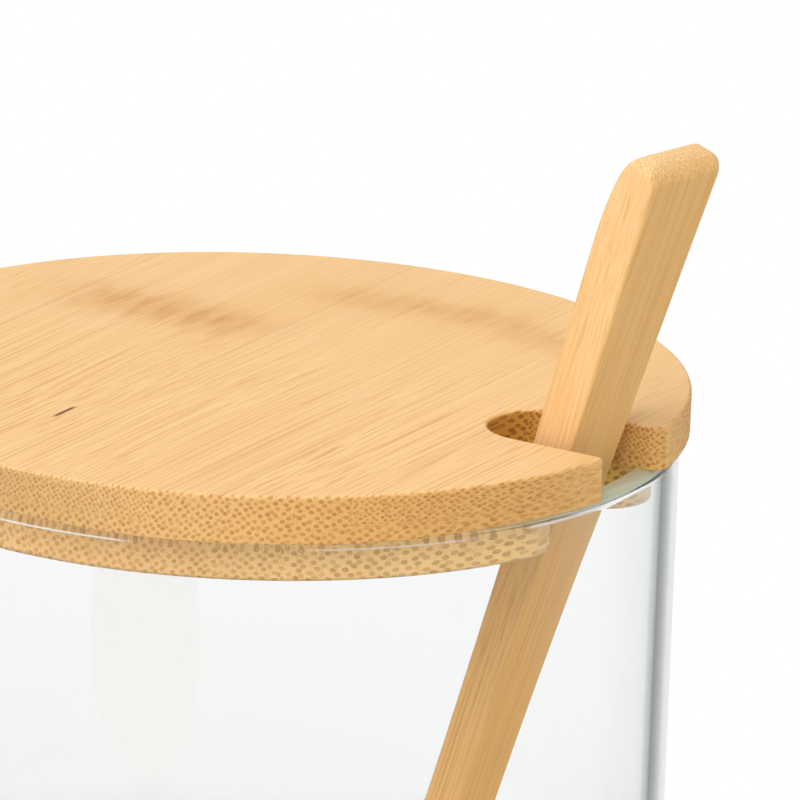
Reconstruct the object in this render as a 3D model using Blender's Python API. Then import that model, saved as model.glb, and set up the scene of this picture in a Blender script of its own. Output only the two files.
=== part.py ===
"""Glass sugar bowl with a glued two-ply bamboo lid and a bamboo spoon standing in the lid's notch.

Metres, +Z up. The origin is the centre of the bowl's flat base, and the notch points along +X.
"""
import math

import bmesh
import bpy
from mathutils import Euler, Matrix, Vector

MM = 0.001

# Glass bowl
GLASS_RADIUS = 46.6 * MM
GLASS_HEIGHT = 80.0 * MM
GLASS_WALL = 2.4 * MM
GLASS_FLOOR = 5.0 * MM
GLASS_HEEL_ROUND = 6.0 * MM
GLASS_INNER_ROUND = 8.0 * MM
RIM_OUTER_ROUND = 1.1 * MM
RIM_INNER_ROUND = 0.3 * MM

# Lid, from the glass rim upwards and downwards
TOP_PLY_THICKNESS = 4.6 * MM
PLUG_DEPTH = 5.8 * MM
LID_OVERHANG = 1.05 * MM
LID_TOP_ROUND = 0.5 * MM
LID_LOWER_ROUND = 0.6 * MM
PLUG_ROUND = 0.6 * MM
LID_CORNER_ROUND = 0.7 * MM
PLUG_CORNER_ROUND = 3.5 * MM
NOTCH_FLARE = math.radians(2.5)

# Spoon
SPOON_LENGTH = 117.45 * MM
HANDLE_END_WIDTH = 12.8 * MM
HANDLE_END_THICKNESS = 5.8 * MM
HANDLE_NECK_WIDTH = 7.4 * MM
HANDLE_NECK_THICKNESS = 4.5 * MM
HANDLE_OUTER_END_ROUND = 2.5 * MM
HANDLE_INNER_END_ROUND = 12.8 * MM
HANDLE_CORNER_WIDTH = 5.4 * MM
HANDLE_CORNER_LENGTH = 1.2 * MM
SCOOP_LENGTH = 37.0 * MM
SCOOP_WIDTH = 24.0 * MM
SCOOP_DEPTH = 5.0 * MM
SCOOP_WALL = 2.0 * MM
SPOON_LEAN = math.radians(16.65)
SPOON_TWIST = math.radians(7.4)
HANDLE_FLARE = 1.5
HANDLE_SQUARENESS = 14.0
SCOOP_SQUARENESS = 2.4

# Clearances
SEAT_GAP = 0.3 * MM
GLUE_GAP = 0.3 * MM
PLUG_CLEARANCE = 0.5 * MM
SPOON_RIM_CLEARANCE = 2.08 * MM
NOTCH_SIDE_CLEARANCE = 1.1 * MM
NOTCH_END_CLEARANCE = 4.2 * MM

# Facets of the round pieces
TURN_STEPS = 64
ROUND_STEPS = 4
NOTCH_END_STEPS = 16
SECTION_POINTS = 24
SPOON_STATIONS = 44
HOLLOW_STEPS = 28
SPOON_END_MARGIN = 0.04 * MM
WELD = 0.001 * MM
SHARP_ANGLE = math.radians(35)

# Sizes that follow from the ones above
GLASS_INNER_RADIUS = GLASS_RADIUS - GLASS_WALL
LID_RADIUS = GLASS_RADIUS + LID_OVERHANG
PLUG_RADIUS = GLASS_INNER_RADIUS - PLUG_CLEARANCE
LID_SEAT = GLASS_HEIGHT + SEAT_GAP
LID_TOP = LID_SEAT + TOP_PLY_THICKNESS
PLUG_TOP = LID_SEAT - GLUE_GAP
PLUG_BOTTOM = LID_SEAT - PLUG_DEPTH


def clear_scene():
    for old in list(bpy.data.objects):
        bpy.data.objects.remove(old, do_unlink=True)


def material(name, color, roughness, transmission=0.0):
    """A Principled material with the piece's colour."""
    mat = bpy.data.materials.new(name)
    mat.use_nodes = True
    shader = mat.node_tree.nodes["Principled BSDF"]
    shader.inputs["Base Color"].default_value = (*color, 1.0)
    shader.inputs["Roughness"].default_value = roughness
    shader.inputs["Metallic"].default_value = 0.0
    shader.inputs["Transmission Weight"].default_value = transmission
    return mat


def add_object(name, bm, mat=None):
    """Turn a bmesh into a linked object, shaded smooth but for its sharp edges."""
    bmesh.ops.recalc_face_normals(bm, faces=bm.faces)
    mesh = bpy.data.meshes.new(name)
    bm.to_mesh(mesh)
    bm.free()
    mesh.shade_smooth()
    mesh.set_sharp_from_angle(angle=SHARP_ANGLE)
    obj = bpy.data.objects.new(name, mesh)
    bpy.context.scene.collection.objects.link(obj)
    if mat:
        mesh.materials.append(mat)
    return obj


def arc(center, radius, start, end, steps):
    """Points on an arc in a plane, angles in radians."""
    points = []
    for i in range(steps + 1):
        angle = start + (end - start) * i / steps
        points.append((center[0] + radius * math.cos(angle), center[1] + radius * math.sin(angle)))
    return points


def turned(name, profile, mat):
    """Turn a profile of (radius, height) points, which starts and ends on the axis, about Z."""
    bm = bmesh.new()
    points = [bm.verts.new((radius, 0.0, height)) for radius, height in profile]
    edges = [bm.edges.new(pair) for pair in zip(points, points[1:])]
    bmesh.ops.spin(bm, geom=points + edges, cent=(0, 0, 0), axis=(0, 0, 1),
                   angle=math.tau, steps=TURN_STEPS, use_merge=True)
    bmesh.ops.remove_doubles(bm, verts=bm.verts, dist=WELD)
    return add_object(name, bm, mat)


def lofted(name, outlines, mat):
    """Skin a stack of outlines with the same number of points, and close its two ends."""
    bm = bmesh.new()
    loops = [[bm.verts.new(point) for point in outline] for outline in outlines]
    for lower, upper in zip(loops, loops[1:]):
        for i in range(len(lower)):
            j = (i + 1) % len(lower)
            bm.faces.new((lower[i], lower[j], upper[j], upper[i]))
    bm.faces.new(loops[0])
    bm.faces.new(loops[-1])
    bmesh.ops.remove_doubles(bm, verts=bm.verts, dist=WELD)
    return add_object(name, bm, mat)


def cut(obj, cutter):
    """Cut one object with another, which stays as a hidden guide."""
    cutter.hide_render = True
    cutter.display_type = 'WIRE'
    boolean = obj.modifiers.new("cut_" + cutter.name, 'BOOLEAN')
    boolean.operation = 'DIFFERENCE'
    boolean.object = cutter


def glass_bowl(mat):
    """Straight wall, flat rim with a rounded shoulder, flat base with a round heel and a fuller round inside."""
    quarter = math.pi / 2
    heel = (GLASS_RADIUS - GLASS_HEEL_ROUND, GLASS_HEEL_ROUND)
    inner = (GLASS_INNER_RADIUS - GLASS_INNER_ROUND, GLASS_FLOOR + GLASS_INNER_ROUND)
    shoulder = (GLASS_RADIUS - RIM_OUTER_ROUND, GLASS_HEIGHT - RIM_OUTER_ROUND)
    rim_edge = (GLASS_INNER_RADIUS + RIM_INNER_ROUND, GLASS_HEIGHT - RIM_INNER_ROUND)
    profile = [(0.0, 0.0)]
    profile += arc(heel, GLASS_HEEL_ROUND, -quarter, 0.0, ROUND_STEPS)
    profile += arc(shoulder, RIM_OUTER_ROUND, 0.0, quarter, ROUND_STEPS)
    profile += arc(rim_edge, RIM_INNER_ROUND, quarter, 2 * quarter, ROUND_STEPS)
    profile += arc(inner, GLASS_INNER_ROUND, 0.0, -quarter, ROUND_STEPS)
    profile += [(0.0, GLASS_FLOOR)]
    return turned("glass_bowl", profile, mat)


def handle_share(along):
    """How far the handle has grown from its neck, 0, to its end, 1, at a distance from the spoon's tip."""
    share = (along - SCOOP_LENGTH) / (SPOON_LENGTH - SCOOP_LENGTH)
    return max(0.0, share) ** HANDLE_FLARE


def handle_width(along):
    return HANDLE_NECK_WIDTH + (HANDLE_END_WIDTH - HANDLE_NECK_WIDTH) * handle_share(along)


def handle_thickness(along):
    return HANDLE_NECK_THICKNESS + (HANDLE_END_THICKNESS - HANDLE_NECK_THICKNESS) * handle_share(along)


def end_share(along, length):
    """Share of a half size that is left where a quarter ellipse of this length rounds the handle's end."""
    into = (along - (SPOON_LENGTH - length)) / length
    return math.sqrt(max(0.0, 1.0 - max(0.0, into) ** 2))


def oval_share(along):
    """Half size of the scoop's oval outline as a share of its greatest."""
    return math.sqrt(max(0.0, 1.0 - (2.0 * along / SCOOP_LENGTH - 1.0) ** 2))


def blended(first, second):
    """The larger of two half sizes, with a soft change from one to the other."""
    return (first ** 4 + second ** 4) ** 0.25


def spoon_section(along):
    """Outline across the spoon: X is its back, Y its width, Z along it from the tip of the scoop."""
    on_handle = 1.0 if along > SCOOP_LENGTH / 2 else 0.0
    oval = oval_share(along)
    corner = HANDLE_CORNER_WIDTH * (1.0 - end_share(along, HANDLE_CORNER_LENGTH))
    half_width = blended(SCOOP_WIDTH / 2 * oval, on_handle * (handle_width(along) / 2 - corner))
    half_thickness = handle_thickness(along) / 2
    back_of_scoop = SCOOP_DEPTH + SCOOP_WALL - HANDLE_NECK_THICKNESS / 2
    back_of_handle = half_thickness * end_share(along, HANDLE_OUTER_END_ROUND)
    back = blended(back_of_scoop * oval, on_handle * back_of_handle)
    front = half_thickness * end_share(along, HANDLE_INNER_END_ROUND)
    front_power = 2.0 / HANDLE_SQUARENESS
    back_power = 2.0 / (HANDLE_SQUARENESS + (SCOOP_SQUARENESS - HANDLE_SQUARENESS) * oval)
    points = []
    for i in range(SECTION_POINTS):
        angle = math.tau * (i + 0.5) / SECTION_POINTS
        across = math.cos(angle)
        through = math.sin(angle)
        power = back_power if through > 0 else front_power
        y = half_width * math.copysign(abs(across) ** power, across)
        x = (back if through > 0 else front) * math.copysign(abs(through) ** power, through)
        points.append(Vector((x, y, along)))
    return points


def spoon_stations():
    """Distances along the spoon, closer together towards both of its ends."""
    reach = SPOON_LENGTH - 2 * SPOON_END_MARGIN
    for i in range(SPOON_STATIONS + 1):
        yield SPOON_END_MARGIN + reach * (1.0 - math.cos(math.pi * i / SPOON_STATIONS)) / 2


def spoon(mat):
    """One lofted blank with a hollowed scoop, leaning in the notch with its tip on the bowl's floor."""
    obj = lofted("spoon", [spoon_section(along) for along in spoon_stations()], mat)

    hollow = bmesh.new()
    size = Matrix.Diagonal((SCOOP_DEPTH, SCOOP_WIDTH / 2 - SCOOP_WALL, SCOOP_LENGTH / 2 - SCOOP_WALL, 1.0))
    place = Matrix.Translation((-HANDLE_NECK_THICKNESS / 2, 0.0, SCOOP_LENGTH / 2))
    bmesh.ops.create_uvsphere(hollow, u_segments=HOLLOW_STEPS, v_segments=HOLLOW_STEPS // 2,
                              radius=1.0, matrix=place @ size)
    cutter = add_object("scoop_hollow", hollow)
    cut(obj, cutter)

    for piece in (obj, cutter):
        piece.rotation_mode = 'ZYX'
        piece.rotation_euler = (0.0, SPOON_LEAN, -SPOON_TWIST)
        piece.location = spoon_place(obj)
    return obj


def spoon_turn():
    """The spoon's rotation: its twist about itself, then its lean along the notch."""
    return Euler((0.0, SPOON_LEAN, -SPOON_TWIST), 'ZYX').to_matrix()


def handle_reach(along):
    """How far the handle reaches from its own axis along the notch and across it."""
    half_width = handle_width(along) / 2
    half_thickness = handle_thickness(along) / 2
    outward = half_thickness * math.cos(SPOON_TWIST) + half_width * math.sin(SPOON_TWIST)
    sideways = half_width * math.cos(SPOON_TWIST) + half_thickness * math.sin(SPOON_TWIST)
    return outward / math.cos(SPOON_LEAN), sideways


def spoon_axis_x(height):
    """Where the spoon's axis is along the notch at a height, with its handle just inside the rim."""
    along_at_rim = (GLASS_HEIGHT - GLASS_FLOOR) / math.cos(SPOON_LEAN)
    at_rim = GLASS_INNER_RADIUS - SPOON_RIM_CLEARANCE - handle_reach(along_at_rim)[0]
    return at_rim + (height - GLASS_HEIGHT) * math.tan(SPOON_LEAN)


def spoon_place(obj):
    """The tip's place on the axis, where the scoop's lowest point stands on the bowl's floor."""
    turn = spoon_turn()
    lowest = min((turn @ vert.co).z for vert in obj.data.vertices)
    height = GLASS_FLOOR + SEAT_GAP - lowest
    return Vector((spoon_axis_x(height), 0.0, height))


def notch_end():
    """Radius and centre of the notch's round inner end, whose walls flare out towards the rim."""
    along_at_top = (LID_TOP - GLASS_FLOOR) / math.cos(SPOON_LEAN)
    half_at_top = handle_reach(along_at_top)[1] + NOTCH_SIDE_CLEARANCE
    along_at_plug = (PLUG_BOTTOM - GLASS_FLOOR) / math.cos(SPOON_LEAN)
    inner_x = spoon_axis_x(PLUG_BOTTOM) - handle_reach(along_at_plug)[0] - NOTCH_END_CLEARANCE
    run = spoon_axis_x(LID_TOP) - inner_x
    radius = (half_at_top * math.cos(NOTCH_FLARE) - run * math.sin(NOTCH_FLARE)) / (1.0 - math.sin(NOTCH_FLARE))
    return radius, Vector((inner_x + radius, 0.0))


def notch_wall(side):
    """Directions along a notch wall, out to the rim, and from the notch into the lid: side 1 is +Y, -1 is -Y."""
    along = Vector((math.cos(NOTCH_FLARE), side * math.sin(NOTCH_FLARE)))
    into = Vector((-math.sin(NOTCH_FLARE), side * math.cos(NOTCH_FLARE)))
    return along, into


def corner_center(radius, side, corner):
    """Centre of the round between the rim and a notch wall."""
    end_radius, end = notch_end()
    along, into = notch_wall(side)
    start = end + into * (end_radius + corner)
    reach = radius - corner
    half = start.dot(along)
    return start + along * (math.sqrt(half ** 2 + reach ** 2 - start.length_squared) - half)


def notched_disc(height, radius, corner, inset=0.0):
    """A level outline: the rim, the notch's rounded corners, its walls and its round inner end."""
    end_radius, end = notch_end()
    upper = corner_center(radius, 1, corner)
    lower = corner_center(radius, -1, corner)
    mouth = math.atan2(upper.y, upper.x)
    wall = math.pi / 2 - NOTCH_FLARE
    points = arc((0.0, 0.0), radius - inset, mouth, math.tau - mouth, TURN_STEPS)
    points += arc(lower, corner - inset, -mouth, wall, ROUND_STEPS)[1:]
    points += arc(end, end_radius + inset, wall - math.pi, -math.pi - wall, NOTCH_END_STEPS)
    points += arc(upper, corner - inset, -wall, mouth, ROUND_STEPS)[:-1]
    return [Vector((x, y, height)) for x, y in points]


def eased_edge(height, radius, corner, ease, up):
    """Outlines that round a top edge, up = 1, or a lower edge, up = -1, from its side to its flat face."""
    outlines = []
    for i in range(ROUND_STEPS + 1):
        angle = math.pi / 2 * i / ROUND_STEPS
        inset = ease * (1.0 - math.cos(angle))
        level = height - up * ease * (1.0 - math.sin(angle))
        outlines.append(notched_disc(level, radius, corner, inset))
    return outlines


def lid_top_ply(mat):
    """The upper board, which lies on the rim: eased edges all round, and along the notch on top."""
    outlines = []
    lower_ease = (LID_RADIUS - LID_LOWER_ROUND, LID_SEAT + LID_LOWER_ROUND)
    for radius, height in arc(lower_ease, LID_LOWER_ROUND, -math.pi / 2, 0.0, ROUND_STEPS):
        outlines.append(notched_disc(height, radius, LID_CORNER_ROUND))
    outlines += eased_edge(LID_TOP, LID_RADIUS, LID_CORNER_ROUND, LID_TOP_ROUND, up=1)
    return lofted("lid_top_ply", outlines, mat)


def lid_bottom_ply(mat):
    """The smaller lower board, the plug that keeps the lid in place inside the bowl."""
    outlines = [notched_disc(PLUG_TOP, PLUG_RADIUS, PLUG_CORNER_ROUND)]
    outlines += eased_edge(PLUG_BOTTOM, PLUG_RADIUS, PLUG_CORNER_ROUND, PLUG_ROUND, up=-1)
    return lofted("lid_bottom_ply", outlines, mat)


def build():
    clear_scene()
    glass_bowl(material("clear_glass", (0.92, 0.96, 0.94), 0.03, transmission=1.0))
    lid_top_ply(material("lid_bamboo", (0.78, 0.56, 0.30), 0.5))
    lid_bottom_ply(material("plug_bamboo", (0.72, 0.50, 0.26), 0.5))
    spoon(material("spoon_bamboo", (0.76, 0.54, 0.28), 0.5))


build()
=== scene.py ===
"""Looks of the glass sugar bowl: a clear glass bowl, a bamboo lid in two plies and a bamboo spoon.

Lengths are in metres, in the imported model's frame: +Z up, with the lid's notch along +X.
"""
import math

import bmesh
import bpy
from mathutils import Euler, Matrix, Vector

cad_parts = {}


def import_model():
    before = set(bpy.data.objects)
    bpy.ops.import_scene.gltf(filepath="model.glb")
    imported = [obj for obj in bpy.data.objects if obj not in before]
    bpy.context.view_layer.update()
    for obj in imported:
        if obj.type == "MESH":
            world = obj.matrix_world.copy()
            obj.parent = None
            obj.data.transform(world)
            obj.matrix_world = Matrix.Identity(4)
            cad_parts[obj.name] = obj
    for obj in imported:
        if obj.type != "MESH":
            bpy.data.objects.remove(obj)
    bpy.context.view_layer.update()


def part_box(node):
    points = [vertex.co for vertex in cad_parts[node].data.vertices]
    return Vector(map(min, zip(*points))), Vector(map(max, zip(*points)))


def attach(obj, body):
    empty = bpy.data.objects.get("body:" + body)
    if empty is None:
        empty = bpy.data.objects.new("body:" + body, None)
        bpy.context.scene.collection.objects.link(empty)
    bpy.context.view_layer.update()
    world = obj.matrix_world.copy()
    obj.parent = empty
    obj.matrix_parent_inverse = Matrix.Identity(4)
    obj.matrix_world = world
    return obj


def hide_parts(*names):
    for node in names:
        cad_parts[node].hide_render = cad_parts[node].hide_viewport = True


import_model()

MM = 0.001
QUARTER = math.pi / 2

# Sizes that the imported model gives
GLASS_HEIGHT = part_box("glass_bowl")[1].z
GLASS_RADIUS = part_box("glass_bowl")[1].y
LID_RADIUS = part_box("lid_top_ply")[1].y
LID_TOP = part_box("lid_top_ply")[1].z
PLUG_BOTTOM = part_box("lid_bottom_ply")[0].z

# Glass bowl
GLASS_WALL = 2.4 * MM
GLASS_FLOOR = 5.0 * MM
GLASS_HEEL_ROUND = 6.0 * MM
GLASS_INNER_ROUND = 8.0 * MM
RIM_OUTER_ROUND = 1.1 * MM
RIM_SHOULDER = 1.45 * MM
RIM_INNER_ROUND = 0.3 * MM

# Lid
PLUG_RADIUS = 43.7 * MM
LID_TOP_ROUND = 0.5 * MM
LID_LOWER_ROUND = 0.25 * MM
PLUG_ROUND = 0.6 * MM
NOTCH_END_RADIUS = 6.072 * MM
NOTCH_END_CENTER = Vector((36.009, 0.0)) * MM
NOTCH_FLARE = math.radians(2.5)
LID_CORNER_ROUNDS = (0.7 * MM, 1.7 * MM)
PLUG_CORNER_ROUNDS = (5.5 * MM, 5.5 * MM)
HAIRLINE = 0.005 * MM
LID_SEAT = GLASS_HEIGHT + HAIRLINE
SEAT_MARGIN = 0.05 * MM

# Dip of the upper board's lower edge, and the stretches along X and Y over which it sets in and ends
LID_DIP = 0.5 * MM
DIP_RISE = (-8.0 * MM, 18.0 * MM)
DIP_FALL = (46.0 * MM, 32.0 * MM)
DIP_FRONT = (0.0, -12.0 * MM)

# Spoon
SPOON_LENGTH = 117.39 * MM
HANDLE_END_WIDTH = 12.74 * MM
HANDLE_END_THICKNESS = 5.72 * MM
HANDLE_NECK_WIDTH = 7.4 * MM
HANDLE_NECK_THICKNESS = 4.5 * MM
HANDLE_OUTER_END_ROUND = 2.5 * MM
HANDLE_INNER_END_ROUND = 12.8 * MM
HANDLE_CORNER_WIDTH = 5.4 * MM
HANDLE_CORNER_LENGTH = 1.2 * MM
SCOOP_LENGTH = 37.0 * MM
SCOOP_WIDTH = 24.0 * MM
SCOOP_DEPTH = 5.0 * MM
SCOOP_WALL = 2.0 * MM
SPOON_TURN = Euler((0.0, math.radians(16.65), math.radians(-7.4)), 'ZYX').to_matrix()
SPOON_TIP = Vector((16.595, 0.0, 5.375)) * MM
SPOON_GRAIN_ORIGIN = Vector((-3.0, -5.0, 0.0)) * MM
SPOON_END_MARGIN = 0.04 * MM
HANDLE_FLARE = 1.5
HANDLE_SQUARENESS = 14.0
HANDLE_END_SQUARENESS = 4.0
HANDLE_CORNER_FULLNESS = 2.7
HANDLE_INNER_FULLNESS = 2.2
HANDLE_END_SOFTENING = 3.5 * MM
SCOOP_SQUARENESS = 2.4
SCOOP_BLEND = 4

# Facets
TURN_STEPS = 256
ROUND_STEPS = 10
NOTCH_END_STEPS = 48
SPOON_STATIONS = 180
SIDE_POINTS = 10
FACE_POINTS = 32
WELD = 0.001 * MM
SHARP_ANGLE = math.radians(35)

# Bamboo grain, in millimetres across, below and along the fibre
LID_FIBRE_TURN = math.radians(0.8)
STRIP_WIDTH = 26.0
STRIP_SHUFFLE = 37.7
STRIP_JOINT_REACH = (0.14, 0.02)
STRIP_JOINT_SHARE = 0.3
TOP_STRIP_START = -5.7
PLUG_STRIP_START = -2.0
SPOON_STRIP_START = -13.0
OPEN_STRETCH_FADE = 0.5

# Crack in the lid: its middle across the fibre, and its start and end along it
LID_CRACK = (-8.8, -28.9, -23.3)
CRACK_REACH = (0.34, 0.10)
CRACK_TAPER = (1.0, 0.5)

# Node bands on the lid: middle across and along the fibre, half length, half width, slope and strength
NODE_BANDS = [(-20.2, 15.0, 13.0, 5.4, -0.08, 0.66),
              (2.5, 32.2, 12.5, 4.4, 0.04, 0.46),
              (22.3, 28.4, 9.0, 3.8, -0.24, 0.42)]
SMUDGE_SCALES = (0.55, 0.4, 0.16)
SMUDGE_RANGE = (0.34, 0.74)
SMUDGE_LEAST = 0.45

# Fibre bundles: their rows, their rings as shares of their size, and how dark they are
BUNDLE_ROW_TURN = math.radians(38.0)
BUNDLE_SHARE = 0.30
BUNDLE_SCATTER = 0.45
BUNDLE_EDGE = (1.4, 0.65)
BUNDLE_CORE = (0.1, 0.8)
BUNDLE_CORE_LEAST = 0.6
BUNDLE_FAINTEST = 0.5
BUNDLES_ALONG_FIBRE = 0.35
BUNDLES_IN_END_GRAIN = 0.65

# Drift of the bundles and of the wood's tone, slow across the fibre and slower along it
DRIFT_ACROSS_SCALE = 0.035
DRIFT_ALONG_SCALE = 0.018
BUNDLE_DRIFT_ACROSS = 2.4
BUNDLE_DRIFT_BELOW = 4.5

# Streaks: scales of their noise, the ranges of it that they show in, and their strength
STREAK_STRETCH = 0.009
FINE_SCALE = 2.6
BROAD_SCALE = 0.32
FINE_DARK_RANGE = (0.52, 0.70)
FINE_PALE_RANGE = (0.46, 0.30)
FINE_PALE_SHARE = 0.6
BROAD_RANGE = (0.35, 0.70)
BROAD_SHARE = 0.4
DRIFT_RANGE = (0.35, 0.65)
DRIFT_SHARE = 0.3
CALM_LEAST = 0.35

# Ranges of how far a face points along an axis, 0 for not at all and 1 for straight along it
CUT_ACROSS = (0.05, 0.42)
END_GRAIN_FLATNESS = (0.8, 0.5)
BUNDLE_END_FLATNESS = (0.99, 0.85)
FACING_BACK = (0.2, 0.8)
FACING_UP = (0.6, 0.9)
WOOD_UPRIGHT = (0.7, 0.3)
GLASS_UPRIGHT = (0.3, 0.1)

# Relief and sheen of sanded wood
PORE_DEPTH = 0.06 * MM
PORES_ALONG_FIBRE = 0.25
FINE_RELIEF = 0.35
WOOD_ROUGHNESS = 0.5
FINE_ROUGHNESS = 0.16
BUNDLE_ROUGHNESS = 0.08

# Colours, as screen values from 0 to 255
WOOD_PALE = (250, 209, 152)
WOOD_FINE_DARK = (228, 178, 114)
WOOD_FINE_PALE = (255, 221, 170)
WOOD_BROAD = (242, 196, 137)
WOOD_DRIFT = (244, 199, 136)
BUNDLE_ALONG_FIBRE = (206, 150, 86)
LID_BUNDLE_END = (156, 84, 4)
PLUG_BUNDLE_END = (170, 92, 6)
SPOON_BUNDLE_END = (220, 142, 62)
# Bundles on the notch's walls: their own brown, darkened by painted shade
NOTCH_BUNDLE = (104, 54, 10)
STRIP_JOINT = (196, 142, 84)
NODE_BROWN = (198, 122, 40)
CRACK_BROWN = (122, 72, 34)
# Ground rim: its ground finish, coloured pale green as painted light carried along the glass
RIM_GREEN = (206, 212, 186)
# Painted shade: the dark line under the glass's rim
PAINTED_RIM_LINE_GREY = (92, 106, 116)
# Painted highlights in the rim's shoulder
PAINTED_GLEAM_WHITE = (252, 252, 250)

# Darker end grain at the rim's left end; the notch walls' own brown with painted shade; painted shade on the
# spoon under the lid
DIM_TINT = (0.84, 0.86, 0.88)
NOTCH_BROWN_AND_SHADE_TINT = (0.84, 0.79, 0.47)
NOTCH_BUNDLE_SHARE = 0.5
SHADE_TINT = (0.92, 0.83, 0.57)
SHADE_REACH = 6.0 * MM

# Stretches over which the notch's brown and painted shade set in: from -Y, from the lid's middle and from the
# notch's mouth
NOTCH_NEAR_SIDE = (-7.2 * MM, -6.6 * MM)
NOTCH_INNER_END = (27.0 * MM, 29.0 * MM)
NOTCH_MOUTH = (42.0 * MM, 33.0 * MM)

# Shades painted into the glass wall from facing the viewer, 0, to seen edge on, 1: painted shade, a dark line
# where the wall is seen nearly edge on
PAINTED_EDGE_SHADES = [(0.0, (254, 254, 254)), (0.30, (254, 254, 254)), (0.47, (240, 241, 241)),
               (0.64, (218, 221, 219)), (0.675, (206, 209, 206)), (0.70, (138, 146, 148)),
               (0.735, (4, 20, 22)), (0.775, (48, 54, 48)), (0.815, (104, 108, 94)),
               (0.87, (220, 222, 214)), (1.0, (250, 250, 250))]

# Zones of the glass by distance from the axis, its clear tints and its finish
OUTER_WALL = (GLASS_RADIUS - 0.4 * MM, GLASS_RADIUS - 0.2 * MM)
OUTSIDE = (GLASS_RADIUS - GLASS_WALL + 0.1 * MM, GLASS_RADIUS - GLASS_WALL + 0.3 * MM)
GLASS_SURFACE = (0.99, 0.992, 0.992)
GLASS_BODY = (0.72, 0.90, 0.80)
GLASS_DENSITY = 12.0
WAVE_SCALE = 38.0
WAVE_HEIGHT = 0.2 * MM
SMEAR_SCALE = 120.0
SMEAR_RANGE = (0.45, 0.8)
SMEAR_ROUGHNESS = 0.02

# Ground rim with a painted green glow, and the painted dark line under it: depths below the rim in
# millimetres, and where along X they show
RIM_BAND = 0.4
RIM_BAND_GROWTH = 0.42
RIM_BAND_FADE = 0.08
RIM_UNCOVERED = (36.0 * MM, 46.0 * MM)
RIM_SHOWS = (30.0 * MM, 38.0 * MM)
RIM_ROUGHNESS = 0.3
RIM_OPACITY = 0.8
RIM_LINE_DEPTH = 0.88
RIM_LINE_REACH = (0.12, 0.04)
RIM_LINE_SHOWS = (38.0 * MM, 45.0 * MM)

# Painted highlights, bright lines in the rim's shoulder, in millimetres: middle and half length along X,
# depth below the rim, half width and strength
PAINTED_GLEAMS = [(3.1, 9.5, 1.36, 0.16, 0.9), (34.5, 7.0, 1.32, 0.14, 0.6), (45.0, 1.8, 1.13, 0.22, 1.0)]
GLEAM_CORE_WIDTH = 0.4
GLEAM_CORE_LENGTH = 0.6
GLEAM_SIDE = (2.0 * MM, -2.0 * MM)
GLEAM_OPACITY = 0.85

# Camera, as the photograph was taken
CAMERA_AIM = Vector((14.27, 7.04, 82.27)) * MM
CAMERA_DISTANCE = 1282.2 * MM
CAMERA_AZIMUTH = math.radians(29.03)
CAMERA_ELEVATION = math.radians(16.34)
CAMERA_ROLL = math.radians(2.102)
CAMERA_LENS = 529.2
CAMERA_SENSOR = 36.0

# Light and stage
FLOOR_RADIUS = 4.0
FLOOR_COLOR = (0.86, 0.86, 0.85)
SHADOW_REACH = (70.0 * MM, 120.0 * MM)
WORLD_FILL = 0.55
GLASS_FILL = 2.2
FILL_COLOR = (1.0, 0.96, 0.88, 1.0)
CAMERA_SIDE_DIMMING = 0.85
CAMERA_SIDE = (-0.2, 0.4)
NO_BOUNCE = (0.6, 0.4)
WORLD_BACKGROUND = 1.0
KEY_POWER = 8.3
KEY_SIZE = 1.0
KEY_DISTANCE = 1.1
KEY_AZIMUTH = math.radians(2.0)
KEY_ELEVATION = math.radians(50.0)


class Field:
    """A value at each point of a surface, as a shader socket that can be added, multiplied and so on."""

    def __init__(self, graph, socket):
        self.graph = graph
        self.socket = socket

    def __add__(self, other):
        return self.graph.calc('ADD', self, other)

    def __sub__(self, other):
        return self.graph.calc('SUBTRACT', self, other)

    def __rsub__(self, other):
        return self.graph.calc('SUBTRACT', other, self)

    def __mul__(self, other):
        return self.graph.calc('MULTIPLY', self, other)

    def __truediv__(self, other):
        return self.graph.calc('DIVIDE', self, other)

    __radd__ = __add__
    __rmul__ = __mul__

    def size(self):
        return self.graph.calc('ABSOLUTE', self)

    def step(self, low, high):
        """0 below low, 1 above high, and smooth between them. With high under low it falls instead."""
        rise = self.graph.node("MapRange", interpolation_type='SMOOTHSTEP', inputs={
            "Value": self, "From Min": low, "From Max": high})
        return Field(self.graph, rise.outputs["Result"])

    def lifted(self, least):
        """The range from 0 to 1 turned into the range from least to 1."""
        return least + (1.0 - least) * self


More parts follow.
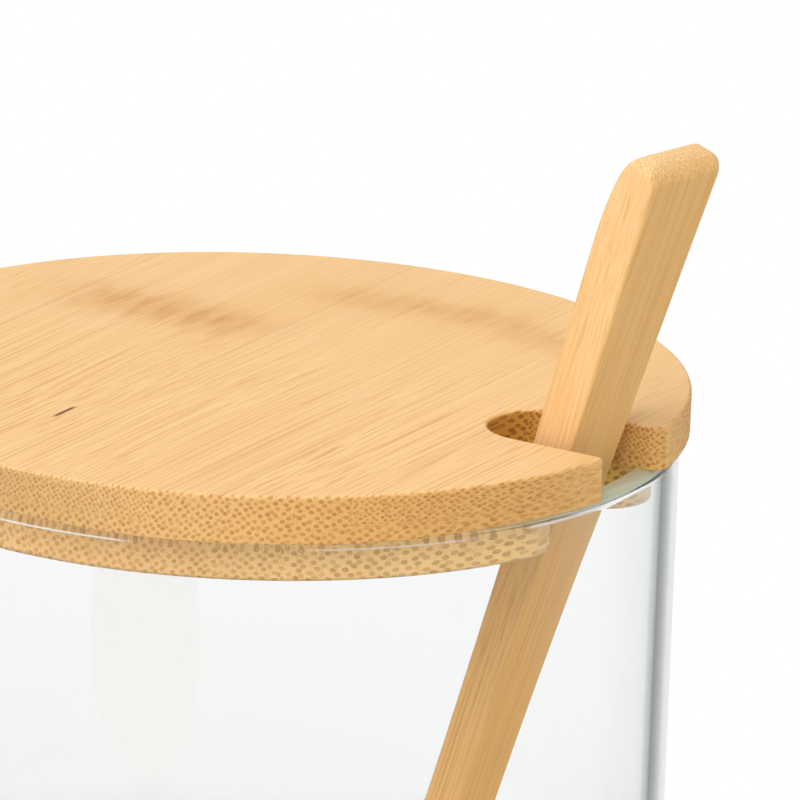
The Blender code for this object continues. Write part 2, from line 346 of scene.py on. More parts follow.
class Graph:
    """Adds nodes to one shader tree. An input is a Field, a number or a tuple."""

    def __init__(self, tree):
        self.tree = tree
        tree.nodes.clear()

    def feed(self, socket, source):
        if isinstance(source, Field):
            self.tree.links.new(source.socket, socket)
        else:
            socket.default_value = source

    def node(self, kind, inputs=None, **settings):
        made = self.tree.nodes.new("ShaderNode" + kind)
        for name, setting in settings.items():
            setattr(made, name, setting)
        for name, source in (inputs or {}).items():
            self.feed(made.inputs[name], source)
        return made

    def calc(self, operation, *values):
        made = self.node("Math", operation=operation)
        for socket, source in zip(made.inputs, values):
            self.feed(socket, source)
        return Field(self, made.outputs[0])

    def vector(self, x, y, z=0.0):
        made = self.node("CombineXYZ", {"X": x, "Y": y, "Z": z})
        return Field(self, made.outputs[0])

    def parts(self, vector):
        made = self.node("SeparateXYZ", {"Vector": vector})
        return [Field(self, output) for output in made.outputs]

    def dot(self, first, second):
        made = self.node("VectorMath", operation='DOT_PRODUCT')
        self.feed(made.inputs[0], first)
        self.feed(made.inputs[1], second)
        return Field(self, made.outputs["Value"])

    def noise(self, vector, scale=1.0, detail=2.0):
        return self.node("TexNoise", {"Vector": vector, "Scale": scale, "Detail": detail})

    def noise_value(self, vector, scale=1.0, detail=2.0):
        return Field(self, self.noise(vector, scale, detail).outputs[0])

    def noise_parts(self, vector, scale=1.0, detail=2.0):
        return self.parts(Field(self, self.noise(vector, scale, detail).outputs["Color"]))

    def mix(self, share, first, second, blend='MIX'):
        """One colour turning into another as share goes from 0 to 1."""
        made = self.node("Mix", data_type='RGBA', blend_type=blend)
        for index, source in ((0, share), (6, first), (7, second)):
            self.feed(made.inputs[index], source)
        return Field(self, made.outputs[2])

    def tint(self, base, share, factors):
        """A colour multiplied by three factors where share is 1."""
        return self.mix(share, base, (*factors, 1.0), 'MULTIPLY')


def new_material(name):
    made = bpy.data.materials.new(name)
    made.use_nodes = True
    return made, Graph(made.node_tree)


def color(red, green, blue):
    """A colour written as screen values from 0 to 255, as a shader takes it."""
    linear = []
    for level in (red, green, blue):
        share = level / 255
        linear.append(share / 12.92 if share <= 0.04045 else ((share + 0.055) / 1.055) ** 2.4)
    return (*linear, 1.0)


class Grain:
    """Where a point of a surface lies in its bamboo, and how the surface cuts the fibre there.

    axes are the directions across, below and along the fibre, and origin is a point on the outer face.
    """

    def __init__(self, graph, axes, origin):
        place = graph.node("TexCoord")
        self.spot = Field(graph, place.outputs["Object"])
        mapped = graph.node("Mapping", {
            "Vector": self.spot, "Location": origin, "Rotation": Matrix(axes).transposed().to_euler(),
            "Scale": (MM, MM, MM)}, vector_type='TEXTURE')
        self.across, self.below, self.along = graph.parts(Field(graph, mapped.outputs[0]))
        normal = Field(graph, place.outputs["Normal"])
        cut_across = graph.dot(normal, axes[2]).size().step(*CUT_ACROSS)
        flatness = graph.dot(normal, axes[1]).size()
        self.end_grain = cut_across * flatness.step(*END_GRAIN_FLATNESS)
        self.bundle_ends = cut_across * flatness.step(*BUNDLE_END_FLATNESS)
        self.back = graph.dot(normal, axes[0]).step(*FACING_BACK)
        self.upward = graph.parts(normal)[2]


def glued_strips(graph, grain, start):
    """Darkness of the joints between glued strips, and a shift that gives each strip a grain of its own."""
    strip = graph.calc('FLOOR', (grain.across - start) / STRIP_WIDTH)
    in_strip = (grain.across - start) - strip * STRIP_WIDTH
    joint = graph.calc('MINIMUM', in_strip, STRIP_WIDTH - in_strip).step(*STRIP_JOINT_REACH)
    return joint, strip * STRIP_SHUFFLE


def fibre_bundles(graph, across, below, spacing):
    """Darkness of the fibre bundles: small open rings in slanted rows, some darker than others."""
    cosine = math.cos(BUNDLE_ROW_TURN) / spacing
    sine = math.sin(BUNDLE_ROW_TURN) / spacing
    cells = graph.node("TexVoronoi", {
        "Vector": graph.vector(across * cosine - below * sine, across * sine + below * cosine),
        "Scale": 1.0, "Randomness": BUNDLE_SCATTER}, voronoi_dimensions='2D', feature='F1')
    reach = Field(graph, cells.outputs["Distance"]) / BUNDLE_SHARE
    chance = graph.parts(Field(graph, cells.outputs["Color"]))[0]
    ring = reach.step(*BUNDLE_EDGE) * reach.step(*BUNDLE_CORE).lifted(BUNDLE_CORE_LEAST)
    return ring * chance.lifted(BUNDLE_FAINTEST)


def streaked_wood(graph, fine, broad, drift, contrast):
    """Colour of the bare wood, with fine and broad streaks and a slow drift of its tone."""
    base = graph.mix(fine.step(*FINE_DARK_RANGE) * contrast, color(*WOOD_PALE), color(*WOOD_FINE_DARK))
    pale = fine.step(*FINE_PALE_RANGE) * contrast * FINE_PALE_SHARE
    base = graph.mix(pale, base, color(*WOOD_FINE_PALE))
    base = graph.mix(broad.step(*BROAD_RANGE) * BROAD_SHARE, base, color(*WOOD_BROAD))
    return graph.mix(drift.step(*DRIFT_RANGE) * DRIFT_SHARE, base, color(*WOOD_DRIFT))


def notch_brown_and_shade_share(graph, grain, far_start, far_end, mouth_share):
    """Share of brown and painted shade on the walls of the lid's notch, deepest at its inner end.

    On the far side, +Y, the brown and painted shade fade out from far_start to far_end. mouth_share is what
    is left of them at the notch's mouth.
    """
    x, y = graph.parts(grain.spot)[:2]
    upright = grain.upward.size().step(*WOOD_UPRIGHT)
    inside = y.step(*NOTCH_NEAR_SIDE) * y.step(far_end, far_start) * x.step(*NOTCH_INNER_END)
    return upright * inside * x.step(*NOTCH_MOUTH).lifted(mouth_share)


def node_bands(graph, grain, base, bands):
    """A colour with the brown bands of the nodes laid over it, broken up into smudges along the fibre."""
    across_scale, below_scale, along_scale = SMUDGE_SCALES
    place = graph.vector(grain.across * across_scale, grain.below * below_scale, grain.along * along_scale)
    smudges = graph.noise_value(place, detail=4.0).step(*SMUDGE_RANGE).lifted(SMUDGE_LEAST)
    for middle, height, half_length, half_width, slope, strength in bands:
        from_middle = grain.across - middle
        sideways = from_middle / half_length
        offset = (grain.along - height - from_middle * slope) / half_width
        spread = sideways * sideways
        inside = graph.calc('EXPONENT', 0.0 - (spread * spread + offset * offset))
        base = graph.mix(inside * smudges * strength, base, color(*NODE_BROWN))
    return base


def crack_line(grain, middle, start, end):
    """Share of brown in a short open crack along the fibre."""
    half = (end - start) / 2
    offset = ((grain.along - (start + end) / 2) / half).size()
    return (grain.across - middle).size().step(*CRACK_REACH) * offset.step(*CRACK_TAPER)


def finish_wood(graph, grain, base, bundles, fine):
    """Sanded wood of this colour, with pores at the bundles that are deepest in the end grain."""
    height = 1.0 - bundles * grain.end_grain.lifted(PORES_ALONG_FIBRE) + fine * FINE_RELIEF
    relief = graph.node("Bump", {"Strength": 0.32, "Distance": PORE_DEPTH, "Height": height})
    shader = graph.node("BsdfPrincipled", {
        "Base Color": base, "Specular IOR Level": 0.2, "Normal": Field(graph, relief.outputs[0]),
        "Roughness": WOOD_ROUGHNESS + FINE_ROUGHNESS * fine + BUNDLE_ROUGHNESS * bundles})
    output = graph.node("OutputMaterial")
    graph.tree.links.new(shader.outputs[0], output.inputs["Surface"])


def bamboo(name, axes, origin, strip_start, spacings, dense_to, calm, end_tint, bundle_tint, back_shading_tint,
           open_stretch=None, dim_to=None, notched=None, shaded=False, marks=(), crack=None):
    """Bamboo with fibre bundles, streaks, glued strips and the dark bands of its nodes.

    axes and origin are those of its Grain. dense_to is the depth over which close small bundles give way to
    wider ones at the second of the spacings, and open_stretch the middle and half width of a stretch across
    the fibre that has only the wider ones. dim_to is the stretch across the fibre over which the end grain
    grows darker, and calm the stretch along it over which the streaks grow stronger. back_shading_tint paints
    shading
    on the faces that point across the fibre: darker on the lid and spoon, lighter on the plug. notched holds
    the last three inputs of notch_brown_and_shade_share, for wood that is browner and carries painted shade
    on the walls of the lid's notch. Shaded wood carries painted shade below the glass's rim.
    """
    material, graph = new_material(name)
    grain = Grain(graph, axes, origin)
    joint, shuffle = glued_strips(graph, grain, strip_start)
    slow = graph.vector(grain.across * DRIFT_ACROSS_SCALE + shuffle, grain.below * DRIFT_ACROSS_SCALE,
                        grain.along * DRIFT_ALONG_SCALE)
    drift_across, drift_below, drift_tone = graph.noise_parts(slow, detail=1.0)
    across = grain.across + shuffle + drift_across * BUNDLE_DRIFT_ACROSS
    below = grain.below + drift_below * BUNDLE_DRIFT_BELOW

    depth = grain.below.step(*dense_to)
    if open_stretch:
        middle, half_width = open_stretch
        opened = (grain.across - middle).size().step(half_width, half_width - OPEN_STRETCH_FADE)
        depth = graph.calc('MAXIMUM', depth, opened)
    dense = fibre_bundles(graph, across, below, spacings[0])
    sparse = fibre_bundles(graph, across, below, spacings[1])
    bundles = dense * (1.0 - depth) + sparse * depth

    streak_place = graph.vector(across, below, grain.along * STREAK_STRETCH)
    fine = graph.noise_value(streak_place, scale=FINE_SCALE, detail=3.0)
    broad = graph.noise_value(streak_place, scale=BROAD_SCALE, detail=2.0)
    contrast = grain.along.step(*calm).lifted(CALM_LEAST)

    base = streaked_wood(graph, fine, broad, drift_tone, contrast)
    base = graph.tint(base, grain.end_grain, end_tint)
    if dim_to:
        base = graph.tint(base, grain.end_grain * grain.across.step(*dim_to), DIM_TINT)
    # Painted shading on the faces that point across the fibre: darker on the lid and spoon, lighter on the
    # plug
    base = graph.tint(base, grain.back, back_shading_tint)
    bundle_color = graph.mix(grain.bundle_ends, color(*BUNDLE_ALONG_FIBRE), color(*bundle_tint))
    along_fibre = BUNDLES_ALONG_FIBRE * contrast * (1.0 - grain.bundle_ends)
    shown = bundles * (along_fibre + BUNDLES_IN_END_GRAIN * grain.bundle_ends)
    base = graph.mix(shown, base, bundle_color)
    # The notch's own browner wood with painted shade in its recess
    if notched:
        wall = notch_brown_and_shade_share(graph, grain, *notched)
        base = graph.tint(base, wall, NOTCH_BROWN_AND_SHADE_TINT)
        base = graph.mix(wall * bundles * NOTCH_BUNDLE_SHARE, base, color(*NOTCH_BUNDLE))
    # Painted shade on the spoon below the glass's rim, where the lid shades it
    if shaded:
        covered = graph.parts(grain.spot)[2].step(GLASS_HEIGHT, GLASS_HEIGHT - SHADE_REACH)
        base = graph.tint(base, covered, SHADE_TINT)
    joint_share = joint * grain.upward.step(*FACING_UP) * STRIP_JOINT_SHARE
    base = graph.mix(joint_share, base, color(*STRIP_JOINT))
    base = node_bands(graph, grain, base, marks)
    if crack:
        base = graph.mix(crack_line(grain, *crack), base, color(*CRACK_BROWN))
    finish_wood(graph, grain, base, bundles, fine)
    return material


def rim_shares(graph, spot, outside):
    """Shares of the pale ground rim with its painted green glow, of the painted dark line under it and of the
    painted highlights in its shoulder.
    """
    x, y, z = graph.parts(spot)
    below_rim = (GLASS_HEIGHT - z) / MM
    band = RIM_BAND + RIM_BAND_GROWTH * x.step(*RIM_UNCOVERED)
    # Ground rim band, painted pale green as a glow of light in the glass, widening towards +X
    rim = (below_rim - band).step(RIM_BAND_FADE, -RIM_BAND_FADE) * outside * x.step(*RIM_SHOWS)
    # Painted shade: a dark line painted on the outer wall just under the rim
    painted_rim_line = (below_rim - RIM_LINE_DEPTH).size().step(*RIM_LINE_REACH) * outside * x.step(*RIM_LINE_SHOWS)
    # Painted highlights: short bright lines laid into the shoulder
    painted_gleam = 0.0
    for middle, half_length, depth, half_width, strength in PAINTED_GLEAMS:
        line = (below_rim - depth).size().step(half_width, half_width * GLEAM_CORE_WIDTH) * strength
        line = line * (x / MM - middle).size().step(half_length, half_length * GLEAM_CORE_LENGTH)
        painted_gleam = graph.calc('MAXIMUM', painted_gleam, line * outside * y.step(*GLEAM_SIDE))
    return rim, painted_rim_line, painted_gleam


def painted_edge_shade(graph):
    """Colour of the glass wall by the angle at which it is seen, with a painted dark line where it is seen
    nearly edge on.
    """
    view = graph.node("LayerWeight", {"Blend": 0.5})
    ramp = graph.node("ValToRGB", {"Fac": Field(graph, view.outputs["Facing"])})
    stops = ramp.color_ramp.elements
    for position, _ in PAINTED_EDGE_SHADES[2:]:
        stops.new(position)
    for stop, (position, shade) in zip(stops, PAINTED_EDGE_SHADES):
        stop.position = position
        stop.color = color(*shade)
    return Field(graph, ramp.outputs["Color"])


def glass():
    """Clear glass with a ground rim, a painted glow, dark line and highlights at the rim, and a painted dark
    line along its sides.
    """
    material, graph = new_material("clear_glass")
    place = graph.node("TexCoord")
    spot = Field(graph, place.outputs["Object"])
    x, y = graph.parts(spot)[:2]
    reach = graph.calc('SQRT', x * x + y * y)
    upward = graph.parts(Field(graph, place.outputs["Normal"]))[2]
    outer_wall = reach.step(*OUTER_WALL) * upward.size().step(*GLASS_UPRIGHT)
    rim, painted_rim_line, painted_gleam = rim_shares(graph, spot, reach.step(*OUTSIDE))
    # Painted shade: the dark line along the wall's sides, by the angle at which it is seen
    base = graph.mix(outer_wall, (*GLASS_SURFACE, 1.0), painted_edge_shade(graph))
    # Painted green glow of the ground rim
    base = graph.mix(rim, base, color(*RIM_GREEN))
    # Painted shade: the dark line under the rim
    base = graph.mix(painted_rim_line, base, color(*PAINTED_RIM_LINE_GREY))
    # Painted highlights in the rim's shoulder
    base = graph.mix(painted_gleam, base, color(*PAINTED_GLEAM_WHITE))

    waves = graph.noise_value(spot, scale=WAVE_SCALE, detail=1.0)
    relief = graph.node("Bump", {"Strength": 0.05, "Distance": WAVE_HEIGHT, "Height": waves})
    smears = graph.noise_value(spot, scale=SMEAR_SCALE, detail=3.0).step(*SMEAR_RANGE)
    shader = graph.node("BsdfPrincipled", {
        "Base Color": base, "Roughness": smears * SMEAR_ROUGHNESS + rim * RIM_ROUGHNESS, "IOR": 1.5,
        "Transmission Weight": 1.0 - graph.calc('MAXIMUM', rim * RIM_OPACITY, painted_gleam * GLEAM_OPACITY),
        "Normal": Field(graph, relief.outputs[0])})
    body = graph.node("VolumeAbsorption", {"Color": (*GLASS_BODY, 1.0), "Density": GLASS_DENSITY})
    output = graph.node("OutputMaterial")
    graph.tree.links.new(shader.outputs[0], output.inputs["Surface"])
    graph.tree.links.new(body.outputs[0], output.inputs["Volume"])
    return material


def add_piece(name, bm, material):
    """Turn a bmesh into a linked object, smooth but for its sharp edges."""
    bmesh.ops.recalc_face_normals(bm, faces=bm.faces)
    mesh = bpy.data.meshes.new(name)
    bm.to_mesh(mesh)
    bm.free()
    mesh.shade_smooth()
    mesh.set_sharp_from_angle(angle=SHARP_ANGLE)
    mesh.materials.append(material)
    made = bpy.data.objects.new(name, mesh)
    bpy.context.scene.collection.objects.link(made)
    weighted = made.modifiers.new("weighted_normals", 'WEIGHTED_NORMAL')
    weighted.keep_sharp = True
    return made


def arc(center, radius, start, end, steps):
    """Points on an arc in a plane, angles in radians."""
    points = []
    for i in range(steps + 1):
        angle = start + (end - start) * i / steps
        points.append((center[0] + radius * math.cos(angle), center[1] + radius * math.sin(angle)))
    return points


def lofted(name, outlines, material):
    """Skin a stack of outlines with the same number of points, and close its two ends."""
    bm = bmesh.new()
    loops = [[bm.verts.new(point) for point in outline] for outline in outlines]
    for lower, upper in zip(loops, loops[1:]):
        for i in range(len(lower)):
            j = (i + 1) % len(lower)
            bm.faces.new((lower[i], lower[j], upper[j], upper[i]))
    bm.faces.new(loops[0])
    bm.faces.new(loops[-1])
    bmesh.ops.remove_doubles(bm, verts=bm.verts, dist=WELD)
    return add_piece(name, bm, material)


def turned(name, profile, material):
    """Turn a profile of (radius, height) points, which starts and ends on the axis, about Z."""
    outlines = []
    for radius, height in profile:
        circle = arc((0.0, 0.0), radius, 0.0, math.tau, TURN_STEPS)[1:]
        outlines.append([Vector((x, y, height)) for x, y in circle])
    return lofted(name, outlines, material)


def glass_bowl():
    """Straight wall, ground rim with a rounded shoulder, and a heavy flat base."""
    inner_radius = GLASS_RADIUS - GLASS_WALL
    heel = (GLASS_RADIUS - GLASS_HEEL_ROUND, GLASS_HEEL_ROUND)
    shoulder = arc((GLASS_RADIUS - RIM_OUTER_ROUND, 0.0), RIM_OUTER_ROUND, 0.0, QUARTER, ROUND_STEPS)
    stretch = RIM_SHOULDER / RIM_OUTER_ROUND
    inner_edge = (inner_radius + RIM_INNER_ROUND, GLASS_HEIGHT - RIM_INNER_ROUND)
    inner = (inner_radius - GLASS_INNER_ROUND, GLASS_FLOOR + GLASS_INNER_ROUND)
    profile = [(0.0, 0.0)]
    profile += arc(heel, GLASS_HEEL_ROUND, -QUARTER, 0.0, ROUND_STEPS)
    profile += [(radius, GLASS_HEIGHT - RIM_SHOULDER + height * stretch) for radius, height in shoulder]
    profile += arc(inner_edge, RIM_INNER_ROUND, QUARTER, 2 * QUARTER, ROUND_STEPS // 2)
    profile += arc(inner, GLASS_INNER_ROUND, 0.0, -QUARTER, ROUND_STEPS)
    profile += [(0.0, GLASS_FLOOR)]
    made = turned("bowl_glass", profile, glass())
    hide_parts("glass_bowl")
    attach(made, "bowl")


def notch_wall(side):
    """Directions along a notch wall to the rim, and from the notch into the lid. Side 1 is +Y, -1 is -Y."""
    along = Vector((math.cos(NOTCH_FLARE), side * math.sin(NOTCH_FLARE)))
    into = Vector((-math.sin(NOTCH_FLARE), side * math.cos(NOTCH_FLARE)))
    return along, into


def corner_center(radius, side, corner):
    """Centre of the round between the rim and a notch wall."""
    along, into = notch_wall(side)
    start = NOTCH_END_CENTER + into * (NOTCH_END_RADIUS + corner)
    reach = radius - corner
    half = start.dot(along)
    return start + along * (math.sqrt(half ** 2 + reach ** 2 - start.length_squared) - half)


def notched_disc(height, radius, corners, inset=0.0):
    """A level outline: the rim, the notch's walls and round inner end, and its corners at -Y and +Y."""
    near, far = corners
    lower = corner_center(radius, -1, near)
    upper = corner_center(radius, 1, far)
    start = math.atan2(upper.y, upper.x)
    end = math.atan2(lower.y, lower.x)
    wall = QUARTER - NOTCH_FLARE
    points = arc((0.0, 0.0), radius - inset, start, math.tau + end, TURN_STEPS)
    points += arc(lower, near - inset, end, wall, ROUND_STEPS)[1:]
    points += arc(NOTCH_END_CENTER, NOTCH_END_RADIUS + inset, wall - math.pi, -math.pi - wall,
                  NOTCH_END_STEPS)
    points += arc(upper, far - inset, -wall, start, ROUND_STEPS)[:-1]
    return [Vector((x, y, height)) for x, y in points]


def eased_edge(height, radius, corners, ease, up):
    """Outlines that round a top edge, up = 1, or a lower edge, up = -1, from its side to its flat face."""
    outlines = []
    for i in range(ROUND_STEPS + 1):
        angle = QUARTER * i / ROUND_STEPS
        inset = ease * (1.0 - math.cos(angle))
        level = height - up * ease * (1.0 - math.sin(angle))
        outlines.append(notched_disc(level, radius, corners, inset))
    return outlines


def lid_axes():
    """Directions across, below and along the lid's fibre."""
    turn = Matrix.Rotation(LID_FIBRE_TURN, 3, 'Z')
    return [turn @ Vector(axis) for axis in ((1, 0, 0), (0, 0, -1), (0, 1, 0))]


def ramp(value, start, end):
    """0 at start, 1 at end, and straight between them."""
    return min(1.0, max(0.0, (value - start) / (end - start)))


def dipped(point):
    """A point of the upper board's lower edge, which hangs a little lower at the front, outside the glass."""
    if point.xy.length < GLASS_RADIUS + SEAT_MARGIN:
        return point
    share = min(ramp(point.x, *DIP_RISE), ramp(point.x, *DIP_FALL), ramp(point.y, *DIP_FRONT))
    return point - Vector((0.0, 0.0, LID_DIP * share * share * (3.0 - 2.0 * share)))


def lid_top():
    """The upper board, which lies on the rim, with its edges eased."""
    wood = bamboo("lid_bamboo", lid_axes(), (0.0, 0.0, LID_TOP), TOP_STRIP_START, spacings=(0.46, 0.66),
                  dense_to=(2.6, 4.0), open_stretch=(22.5, 9.5), dim_to=(20.0, -4.0), calm=(25.0, -20.0),
                  end_tint=(0.89, 0.84, 0.72), bundle_tint=LID_BUNDLE_END, back_shading_tint=(0.96, 0.88, 0.74),
                  notched=(6.6 * MM, 7.2 * MM, 0.5), marks=NODE_BANDS, crack=LID_CRACK)
    outlines = [notched_disc(LID_SEAT, GLASS_RADIUS + SEAT_MARGIN, LID_CORNER_ROUNDS)]
    lower_ease = (LID_RADIUS - LID_LOWER_ROUND, LID_SEAT + LID_LOWER_ROUND)
    for radius, height in arc(lower_ease, LID_LOWER_ROUND, -QUARTER, 0.0, ROUND_STEPS):
        outlines.append([dipped(point) for point in notched_disc(height, radius, LID_CORNER_ROUNDS)])
    outlines += eased_edge(LID_TOP, LID_RADIUS, LID_CORNER_ROUNDS, LID_TOP_ROUND, up=1)
    made = lofted("lid_top_board", outlines, wood)
    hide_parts("lid_top_ply")
    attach(made, "lid")


def lid_bottom():
    """The smaller lower board, the plug inside the bowl, a hairline below the upper one."""
    plug_top = LID_SEAT - HAIRLINE
    wood = bamboo("plug_bamboo", lid_axes(), (0.0, 0.0, plug_top), PLUG_STRIP_START, spacings=(0.5, 0.76),
                  dense_to=(-2.0, -1.0), calm=(25.0, -20.0), end_tint=(1.06, 1.03, 0.90),
                  bundle_tint=PLUG_BUNDLE_END, back_shading_tint=(1.05, 1.11, 1.16),
                  notched=(12.0 * MM, 16.0 * MM, 1.0))
    outlines = [notched_disc(plug_top, PLUG_RADIUS, PLUG_CORNER_ROUNDS)]
    outlines += eased_edge(PLUG_BOTTOM, PLUG_RADIUS, PLUG_CORNER_ROUNDS, PLUG_ROUND, up=-1)
    made = lofted("lid_bottom_board", outlines, wood)
    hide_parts("lid_bottom_ply")
    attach(made, "lid")


def handle_size(along, neck, end):
    """A size of the handle, which grows from its neck to its end."""
    share = max(0.0, (along - SCOOP_LENGTH) / (SPOON_LENGTH - SCOOP_LENGTH))
    return neck + (end - neck) * share ** HANDLE_FLARE


def end_share(along, length, power=2.0):
    """Share of a half size that is left where a quarter ellipse of this length rounds the handle's end.

    A power over 2 makes the quarter ellipse fuller.
    """
    into = (along - (SPOON_LENGTH - length)) / length
    return max(0.0, 1.0 - max(0.0, into) ** power) ** (1.0 / power)


def oval_share(along):
    """Half size of the scoop's oval outline as a share of its greatest."""
    return math.sqrt(max(0.0, 1.0 - (2.0 * along / SCOOP_LENGTH - 1.0) ** 2))


def blended(first, second):
    """The larger of two half sizes, with a soft change from one to the other."""
    return (first ** SCOOP_BLEND + second ** SCOOP_BLEND) ** (1 / SCOOP_BLEND)


def half_outline(power):
    """Half of a rounded rectangle of half sizes 1, as (through, across) points from +Y to -Y."""
    corner = 0.5 ** (1.0 / power)
    points = []
    for i in range(SIDE_POINTS):
        through = corner * math.sin(QUARTER * i / SIDE_POINTS)
        points.append((through, (1.0 - through ** power) ** (1.0 / power)))
    for i in range(FACE_POINTS + 1):
        across = corner * math.cos(math.pi * i / FACE_POINTS)
        points.append(((1.0 - abs(across) ** power) ** (1.0 / power), across))
    for through, across in points[SIDE_POINTS - 1:0:-1]:
        points.append((through, -across))
    return points


def hollow_depth(across, along):
    """How deep the scoop's hollow is below the spoon's front face."""
    half_width = SCOOP_WIDTH / 2 - SCOOP_WALL
    half_length = SCOOP_LENGTH / 2 - SCOOP_WALL
    left = 1.0 - (across / half_width) ** 2 - ((along - SCOOP_LENGTH / 2) / half_length) ** 2
    return SCOOP_DEPTH * math.sqrt(max(0.0, left))


def spoon_section(along):
    """Outline across the spoon: X is its back, Y its width, Z along it from the tip of the scoop."""
    on_handle = 1.0 if along > SCOOP_LENGTH / 2 else 0.0
    oval = oval_share(along)
    corner = HANDLE_CORNER_WIDTH * (1.0 - end_share(along, HANDLE_CORNER_LENGTH, HANDLE_CORNER_FULLNESS))
    half_handle = handle_size(along, HANDLE_NECK_WIDTH, HANDLE_END_WIDTH) / 2 - corner
    half_width = blended(SCOOP_WIDTH / 2 * oval, on_handle * half_handle)
    half_thickness = handle_size(along, HANDLE_NECK_THICKNESS, HANDLE_END_THICKNESS) / 2
    back_of_scoop = SCOOP_DEPTH + SCOOP_WALL - HANDLE_NECK_THICKNESS / 2
    back_of_handle = half_thickness * end_share(along, HANDLE_OUTER_END_ROUND)
    back = blended(back_of_scoop * oval, on_handle * back_of_handle)
    front = half_thickness * end_share(along, HANDLE_INNER_END_ROUND, HANDLE_INNER_FULLNESS)
    crispness = end_share(along, HANDLE_END_SOFTENING)
    handle_power = HANDLE_END_SQUARENESS + (HANDLE_SQUARENESS - HANDLE_END_SQUARENESS) * crispness
    back_power = handle_power + (SCOOP_SQUARENESS - handle_power) * oval
    points = []
    for through, across in half_outline(back_power):
        points.append(Vector((back * through, half_width * across, along)))
    for through, across in half_outline(handle_power):
        y = -half_width * across
        points.append(Vector((hollow_depth(y, along) - front * through, y, along)))
    return points


def spoon_stations():
    """Distances along the spoon, closer together towards both of its ends."""
    reach = SPOON_LENGTH - 2 * SPOON_END_MARGIN
    for i in range(SPOON_STATIONS + 1):
        yield SPOON_END_MARGIN + reach * (1.0 - math.cos(math.pi * i / SPOON_STATIONS)) / 2


def spoon():
    """One piece of bamboo, leaning in the notch with its tip on the bowl's floor."""
    axes = [SPOON_TURN @ Vector(axis) for axis in ((1, 0, 0), (0, 1, 0), (0, 0, 1))]
    origin = SPOON_TIP + SPOON_TURN @ SPOON_GRAIN_ORIGIN
    wood = bamboo("spoon_bamboo", axes, origin, SPOON_STRIP_START, spacings=(0.4, 0.5), dense_to=(90.0, 91.0),
                  calm=(190.0, 40.0), end_tint=(1.06, 1.12, 1.22), bundle_tint=SPOON_BUNDLE_END,
                  back_shading_tint=(0.98, 0.91, 0.72), shaded=True)
    outlines = []
    for along in spoon_stations():
        outlines.append([SPOON_TIP + SPOON_TURN @ point for point in spoon_section(along)])
    made = lofted("bamboo_spoon", outlines, wood)
    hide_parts("spoon")
    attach(made, "spoon")


def studio_white(graph, outward):
    """Share of rays that see the white studio, and how bright they find it.

    The other rays only gather light. Reflections find the studio dimmer on the camera's side, and outward
    points from the object towards the studio.
    """
    rays = graph.node("LightPath").outputs
    seen = Field(graph, rays["Diffuse Depth"]).step(*NO_BOUNCE)
    mirrored = Field(graph, rays["Is Glossy Ray"]) * (1.0 - Field(graph, rays["Is Transmission Ray"]))
    dimmed = mirrored * graph.dot(outward, direction(CAMERA_AZIMUTH, 0.0)).step(*CAMERA_SIDE)
    return seen, WORLD_BACKGROUND - dimmed * CAMERA_SIDE_DIMMING


def floor():
    """A pale floor that keeps the shadow near the object and is plain white further off."""
    material, graph = new_material("floor")
    place = graph.node("TexCoord")
    spot = Field(graph, place.outputs["Object"])
    x, y = graph.parts(spot)[:2]
    away = graph.calc('SQRT', x * x + y * y).step(*SHADOW_REACH)
    outward = graph.node("VectorMath", operation='NORMALIZE')
    graph.feed(outward.inputs[0], spot)
    seen, brightness = studio_white(graph, Field(graph, outward.outputs["Vector"]))
    shader = graph.node("BsdfPrincipled", {"Base Color": (*FLOOR_COLOR, 1.0), "Roughness": 0.9,
                                           "Specular IOR Level": 0.1})
    white = graph.node("Emission", {"Color": (1.0, 1.0, 1.0, 1.0), "Strength": brightness})
    mixed = graph.node("MixShader", {"Fac": away * seen})
    output = graph.node("OutputMaterial")
    graph.tree.links.new(shader.outputs[0], mixed.inputs[1])
    graph.tree.links.new(white.outputs[0], mixed.inputs[2])
    graph.tree.links.new(mixed.outputs[0], output.inputs["Surface"])
    bm = bmesh.new()
    bmesh.ops.create_circle(bm, cap_ends=True, segments=TURN_STEPS, radius=FLOOR_RADIUS)
    mesh = bpy.data.meshes.new("floor")
    bm.to_mesh(mesh)
    bm.free()
    mesh.materials.append(material)
    made = bpy.data.objects.new("floor", mesh)
    made.location.z = -HAIRLINE
    bpy.context.scene.collection.objects.link(made)


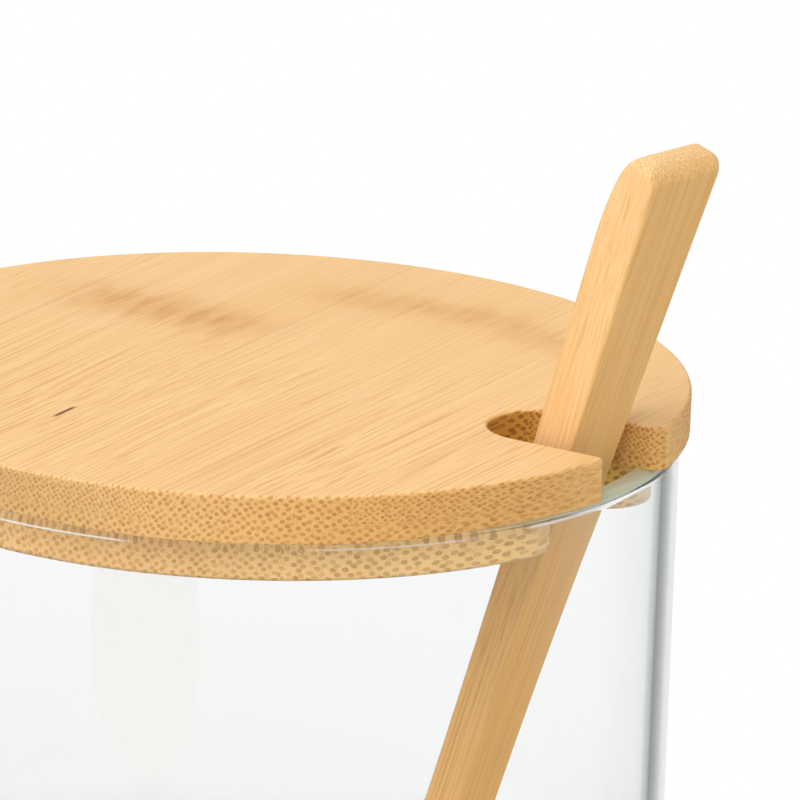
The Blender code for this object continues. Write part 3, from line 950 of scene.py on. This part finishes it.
def world():
    """White for what is seen directly, and an even soft fill, stronger where it comes through the glass."""
    made = bpy.data.worlds.new("studio")
    made.use_nodes = True
    graph = Graph(made.node_tree)
    outward = Field(graph, graph.node("TexCoord").outputs["Generated"])
    seen, brightness = studio_white(graph, outward)
    shade = graph.mix(seen, FILL_COLOR, (1.0, 1.0, 1.0, 1.0))
    through_glass = Field(graph, graph.node("LightPath").outputs["Is Transmission Ray"])
    fill = WORLD_FILL + through_glass * (GLASS_FILL - WORLD_FILL)
    strength = fill + seen * (brightness - fill)
    sky = graph.node("Background", {"Color": shade, "Strength": strength})
    output = graph.node("OutputWorld")
    graph.tree.links.new(sky.outputs[0], output.inputs["Surface"])
    bpy.context.scene.world = made


def direction(azimuth, elevation):
    """From the object towards a viewer. Azimuth 0 is on the -Y side, and 90 degrees on the +X side."""
    level = math.cos(elevation)
    return Vector((math.sin(azimuth) * level, -math.cos(azimuth) * level, math.sin(elevation)))


def key_light():
    """One large soft lamp above and to the left of the camera."""
    lamp = bpy.data.lights.new("key", 'AREA')
    lamp.shape = 'DISK'
    lamp.size = KEY_SIZE
    lamp.energy = KEY_POWER
    made = bpy.data.objects.new("key", lamp)
    towards = direction(KEY_AZIMUTH, KEY_ELEVATION)
    made.location = CAMERA_AIM + towards * KEY_DISTANCE
    made.rotation_euler = towards.to_track_quat('Z', 'Y').to_euler()
    bpy.context.scene.collection.objects.link(made)


def camera():
    """The camera that took the photograph."""
    lens = bpy.data.cameras.new("camera")
    lens.lens = CAMERA_LENS
    lens.sensor_width = CAMERA_SENSOR
    made = bpy.data.objects.new("camera", lens)
    towards = direction(CAMERA_AZIMUTH, CAMERA_ELEVATION)
    level = Matrix.Rotation(CAMERA_AZIMUTH, 4, 'Z') @ Matrix.Rotation(QUARTER - CAMERA_ELEVATION, 4, 'X')
    place = Matrix.Translation(CAMERA_AIM + towards * CAMERA_DISTANCE)
    made.matrix_world = place @ level @ Matrix.Rotation(CAMERA_ROLL, 4, 'Z')
    bpy.context.scene.collection.objects.link(made)
    bpy.context.scene.camera = made


def build():
    glass_bowl()
    lid_top()
    lid_bottom()
    spoon()
    floor()
    world()
    key_light()
    camera()
    bpy.context.scene.view_settings.view_transform = 'Standard'


build()
